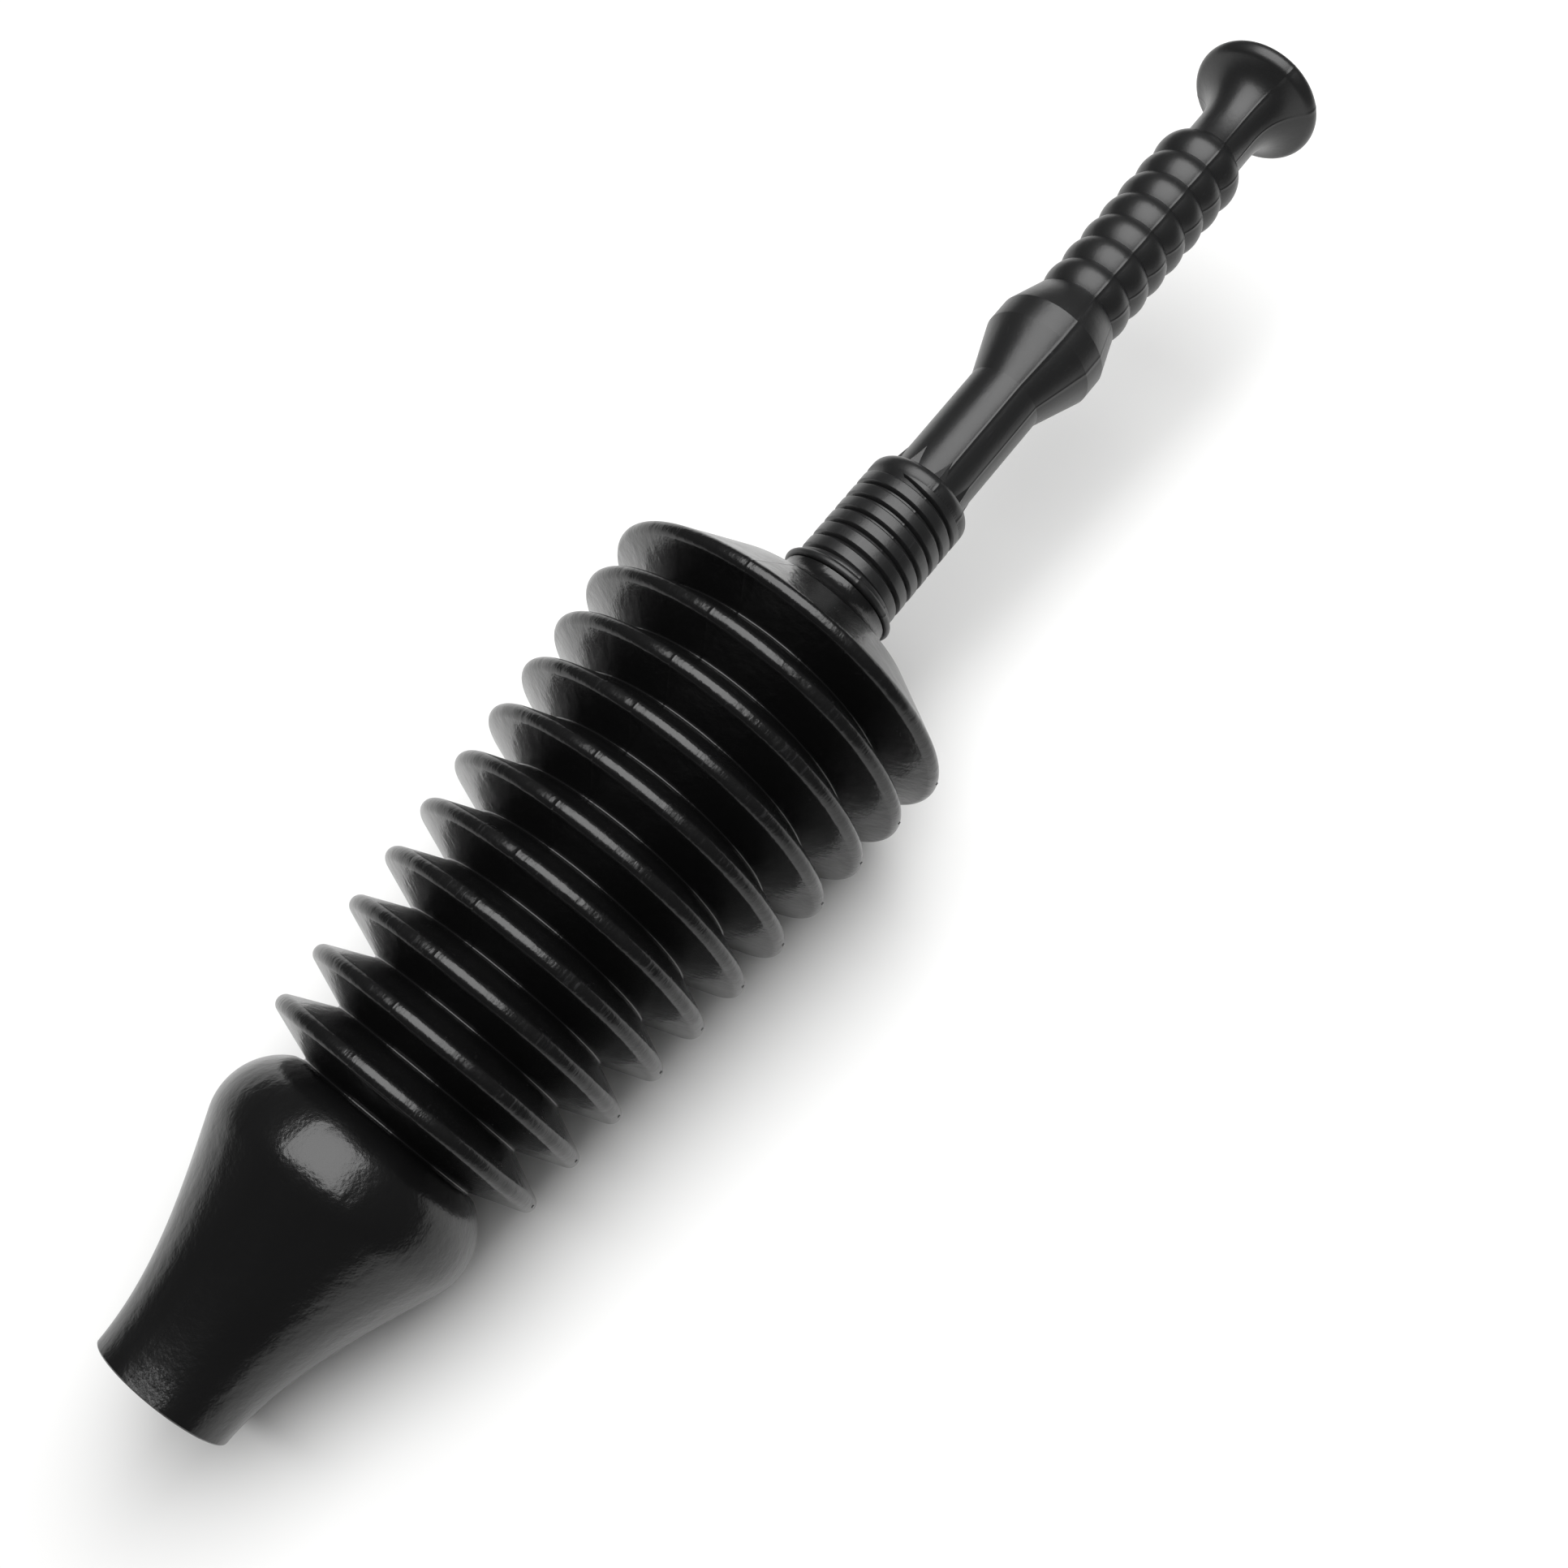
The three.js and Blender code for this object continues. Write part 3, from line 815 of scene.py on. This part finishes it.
def sleeve_outline(sizes, base):
    """The lip that sits on the neck, the sleeve and the plain tube."""
    lip_top = base + sizes.lip_height
    land = sizes.sleeve_radius
    floor = land - sizes.groove_depth
    slope = (sizes.thread_pitch - sizes.rib_land) / 2
    edge = (land - sizes.sleeve_rounding, sizes.sleeve_top - sizes.sleeve_rounding)
    half = sizes.lip_height / 2
    lip = arc((sizes.lip_radius - half, base + half), half, -math.pi / 2, math.pi / 2, 12)
    foot = rounded((sizes.lip_radius, lip_top), (land, lip_top), (land, sizes.sleeve_top), 0.7 * MM, 4)
    bands = [(land, sizes.sleeve_first), (floor, sizes.sleeve_first + slope),
             (floor, sizes.sleeve_last - slope), (land, sizes.sleeve_last)]
    top = arc(edge, sizes.sleeve_rounding, 0, math.pi / 2, 10)
    corner = rounded((sizes.sleeve_radius, sizes.sleeve_top), (sizes.tube_radius, sizes.sleeve_top),
                     (sizes.tube_radius, sizes.collar_start), 0.4 * MM, 4)
    return lip + foot + bands + top + corner


def collar_outline(sizes):
    """The collar: a cone, a straight band and a second cone."""
    corners = [
        (sizes.tube_radius, sizes.collar_start - 30 * MM),
        (sizes.tube_radius, sizes.collar_start),
        (sizes.collar_radius, sizes.collar_band),
        (sizes.collar_radius, sizes.collar_band_end),
        (sizes.bead_crest - 0.2 * MM, sizes.collar_end),
    ]
    points = []
    for before, corner, after in zip(corners, corners[1:], corners[2:]):
        points += rounded(before, corner, after, 0.8 * MM, 4)
    return points + [corners[-1]]


def beads_outline(sizes):
    """The beads of the grip, each an arc between two sharp valleys."""
    rise = sizes.bead_crest - sizes.bead_valley
    half = sizes.bead_pitch / 2
    radius = (half * half + rise * rise) / (2 * rise)
    reach = math.asin(half / radius)
    points = []
    for bead in range(sizes.beads):
        centre = (sizes.bead_crest - radius, sizes.bead_first + bead * sizes.bead_pitch)
        points += arc(centre, radius, -reach, reach, 14)[0 if bead == 0 else 1:]
    return points


def knob_outline(sizes):
    """The thin neck, the trumpet of the knob, its thick rim and its domed end."""
    valley = (sizes.bead_valley, sizes.bead_first + (sizes.beads - 0.5) * sizes.bead_pitch)
    foot = (sizes.knob_neck, sizes.knob_neck_start)
    neck = (sizes.knob_neck, sizes.knob_neck_end)
    fall = curve(valley, (valley[0] - 1.4 * MM, valley[1] + 1.2 * MM),
                 (foot[0] + 0.4 * MM, foot[1] - 1.4 * MM), foot, 8)
    centre = (sizes.knob_radius - sizes.knob_rounding, sizes.knob_rim)
    rim = arc(centre, sizes.knob_rounding, math.radians(-65), math.radians(50), 16)
    under, over = rim[0], rim[-1]
    trumpet = curve(neck, (neck[0], neck[1] + 10 * MM), (under[0] - 8.2 * MM, under[1] - 3.8 * MM), under, 26)
    dome = curve(over, (over[0] - 3.8 * MM, over[1] + 3.2 * MM), (sizes.knob_radius * 0.4, sizes.knob_top),
                 (0, sizes.knob_top), 16)
    return fall[1:] + trumpet + rim[1:] + dome[1:]


def handle_inside(sizes, base):
    """The hollow of the handle, from its closed end down to the socket."""
    wall = sizes.wall
    return [
        (0, sizes.knob_top - wall),
        (sizes.knob_radius * 0.55, sizes.knob_top - wall - 1 * MM),
        (sizes.knob_radius - 3.2 * MM, sizes.knob_rim + 1 * MM),
        (sizes.knob_neck + 1.5 * MM, sizes.knob_rim - 6 * MM),
        (sizes.knob_neck - wall, sizes.knob_neck_end),
        (sizes.knob_neck - wall, sizes.knob_neck_start),
        (sizes.bead_valley - wall, sizes.knob_neck_start - 5 * MM),
        (sizes.bead_valley - wall, sizes.collar_end),
        (sizes.collar_radius - wall, sizes.collar_band_end),
        (sizes.collar_radius - wall, sizes.collar_band),
        (sizes.tube_radius - wall, sizes.collar_start),
        (sizes.tube_radius - wall, sizes.socket_top + 2 * MM),
        (sizes.socket_radius, sizes.socket_top),
        (sizes.socket_radius, base),
    ]


class PLUNGER_OT_handle(bpy.types.Operator):
    """Make the handle: lip, sleeve, tube, collar, beads and knob"""

    bl_idname = "plunger.handle"
    bl_label = "Handle"

    def execute(self, context):
        sizes = context.scene.plunger_handle
        base = context.scene.plunger_bellows.neck_top + sizes.gap
        skin = sleeve_outline(sizes, base) + collar_outline(sizes)
        skin += beads_outline(sizes) + knob_outline(sizes)
        outline = skin + handle_inside(sizes, base)
        lines = [sizes.parting, sizes.slide, sizes.parting + math.pi, sizes.slide + math.pi]
        steps = steps_round(sizes.sides, lines, HANDLE_LINE)
        mesh = turned("handle_body", outline, len(skin), steps, sizes.parting_height)
        piece = finished("handle_body", mesh, handle_plastic(), sharp=60)
        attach(piece, HEAD)
        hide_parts("handle")
        return {"FINISHED"}


class PLUNGER_OT_gussets(bpy.types.Operator):
    """Set the small braces round the foot of the plain tube"""

    bl_idname = "plunger.gussets"
    bl_label = "Gussets"

    def execute(self, context):
        sizes = context.scene.plunger_handle

        def brace(nodes, given):
            cone = nodes.add("GeometryNodeMeshCone", {}, {
                "Vertices": 3, "Side Segments": 1, "Radius Top": 0.0, "Radius Bottom": given["Width"],
                "Depth": given["Rise"],
            })
            where = nodes.add("GeometryNodeInputPosition")
            rise = nodes.add("ShaderNodeSeparateXYZ", {}, {"Vector": where}, "Z")
            shift = nodes.add("ShaderNodeCombineXYZ", {}, {"X": rise / given["Rise"] * given["Lean"]})
            leaning = nodes.add("GeometryNodeSetPosition", {}, {"Geometry": cone, "Offset": shift})
            spread = {"Geometry": leaning, "Scale": (1, sizes.gusset_spread, 1)}
            return nodes.add("GeometryNodeTransform", {}, spread)

        tree = ring_tree("gussets", brace, upright=True)
        foot = sizes.sleeve_top - 3 * MM
        sunk_tip = sizes.tube_radius - 0.1 * MM
        mesh = grown("gussets", tree, {
            "Count": sizes.gussets, "Radius": sizes.gusset_middle, "Height": foot,
            "First Angle": sizes.gusset_angle, "Width": sizes.gusset_size, "Rise": sizes.gusset_tip - foot,
            "Lean": sunk_tip - sizes.gusset_middle, "Material": handle_plastic(),
        })
        piece = finished("gussets", mesh, handle_plastic(), sharp=20)
        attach(piece, HEAD)
        return {"FINISHED"}


# ---- the studio ----------------------------------------------------------------------

class PLUNGER_OT_studio(bpy.types.Operator):
    """Set up the floor, the soft light, the room's own light and the camera"""

    bl_idname = "plunger.studio"
    bl_label = "Studio"

    def execute(self, context):
        scene = context.scene
        studio = scene.plunger_studio

        half = FLOOR_HALF
        mesh = bpy.data.meshes.new("studio_floor")
        corners = [(-half, -half, 0), (half, -half, 0), (half, half, 0), (-half, half, 0)]
        mesh.from_pydata(corners, [], [(0, 1, 2, 3)])
        mesh.transform(Matrix.Translation((0, 0, -FLOOR_DROP)))
        mesh.materials.append(floor_surface())
        floor = bpy.data.objects.new("studio_floor", mesh)
        scene.collection.objects.link(floor)

        lamp = bpy.data.lights.new("soft_light", "AREA")
        lamp.shape = "RECTANGLE"
        lamp.size = studio.light_length
        lamp.size_y = studio.light_width
        lamp.energy = studio.light_power
        light = bpy.data.objects.new("soft_light", lamp)
        light.location = studio.light_place
        scene.collection.objects.link(light)

        world = bpy.data.worlds.new("room")
        world.use_nodes = True
        background = world.node_tree.nodes["Background"]
        background.inputs["Color"].default_value = (1, 1, 1, 1)
        background.inputs["Strength"].default_value = studio.room_light
        scene.world = world

        camera = bpy.data.objects.new("camera", bpy.data.cameras.new("camera"))
        camera.data.lens = studio.lens
        camera.data.sensor_width = SENSOR_WIDTH
        camera.data.clip_start = 0.01
        camera.location = studio.camera
        look = Vector(studio.aim) - Vector(studio.camera)
        camera.rotation_euler = look.to_track_quat("-Z", "Y").to_euler()
        scene.collection.objects.link(camera)
        scene.camera = camera
        scene.view_settings.view_transform = "Standard"
        return {"FINISHED"}


# ---- the sidebar ---------------------------------------------------------------------

OPERATORS = (
    PLUNGER_OT_studio,
    PLUNGER_OT_nose,
    PLUNGER_OT_folds,
    PLUNGER_OT_shoulder,
    PLUNGER_OT_vent_pins,
    PLUNGER_OT_handle,
    PLUNGER_OT_threads,
    PLUNGER_OT_gussets,
)


class PLUNGER_PT_parts(bpy.types.Panel):
    """Lists the plunger's parts and their sizes."""

    bl_label = "Bellows Plunger"
    bl_space_type = "VIEW_3D"
    bl_region_type = "UI"
    bl_category = "Plunger"

    def draw(self, context):
        layout = self.layout
        for operator in OPERATORS:
            layout.operator(operator.bl_idname)
        for name, group in PROPERTY_GROUPS.items():
            box = layout.box()
            for size in group.__annotations__:
                box.prop(getattr(context.scene, name), size)


def register():
    for name, group in PROPERTY_GROUPS.items():
        bpy.utils.register_class(group)
        setattr(bpy.types.Scene, name, PointerProperty(type=group))
    for shown in (*OPERATORS, PLUNGER_PT_parts):
        bpy.utils.register_class(shown)


def unregister():
    for shown in (PLUNGER_PT_parts, *reversed(OPERATORS)):
        bpy.utils.unregister_class(shown)
    for name, group in reversed(PROPERTY_GROUPS.items()):
        delattr(bpy.types.Scene, name)
        bpy.utils.unregister_class(group)


def main():
    register()
    for operator in OPERATORS:
        family, name = operator.bl_idname.split(".")
        getattr(getattr(bpy.ops, family), name)()


if __name__ == "__main__":
    main()
